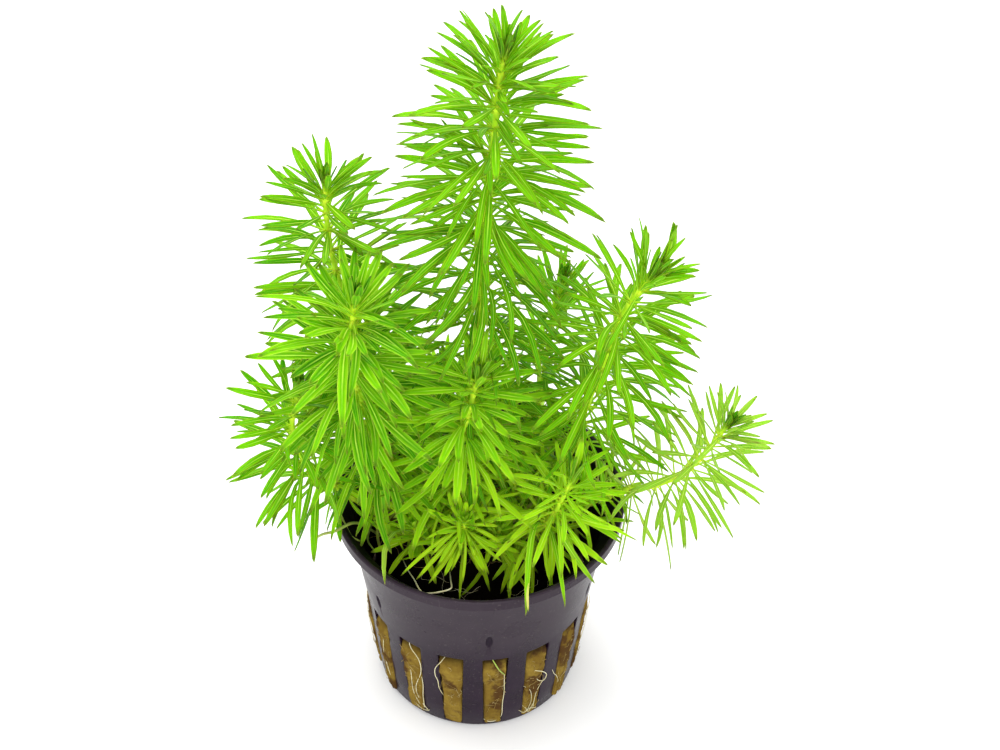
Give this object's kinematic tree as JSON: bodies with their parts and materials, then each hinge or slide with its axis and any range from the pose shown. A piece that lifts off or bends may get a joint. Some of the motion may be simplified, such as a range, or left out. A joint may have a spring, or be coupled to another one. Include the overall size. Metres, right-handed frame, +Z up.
{
  "type": "potted aquarium plant",
  "caption": "Bushy potted stem plant with whorls of narrow bright green leaves, growing from a rock wool plug in a small slotted net pot.",
  "frame": {"origin": "middle of the underside of the pot, where its axis meets the surface it stands on", "axes": "+Z up along the pot's axis, -Y towards the front where the low shoots hang into the rim, +X to the right seen from the front"},
  "size_m": [0.0937, 0.052, 0.1397],
  "materials": {
    "pot_plastic": "satin",
    "rock_wool": "matte",
    "leaf_green": "satin",
    "root": "matte",
    "bare_stalk": "matte"
  },
  "bodies": {
    "root": {"net_pot": "pot_plastic", "rock_wool": "rock_wool", "root_rim": "root", "stalk_left": "bare_stalk", "stem_main": "leaf_green", "stem_front_left": "leaf_green", "stem_centre": "leaf_green", "stem_right_front": "leaf_green", "stem_right": "leaf_green", "stem_far_right": "leaf_green", "stem_back_left": "leaf_green", "stem_far_left": "leaf_green", "stem_back_right": "leaf_green", "shoot_front": "leaf_green", "shoot_front_left": "leaf_green", "shoot_inner_right": "leaf_green", "shoot_inner_front": "leaf_green", "shoot_inner_left": "leaf_green", "shoot_inner_back": "leaf_green"}
  },
  "joints": []
}
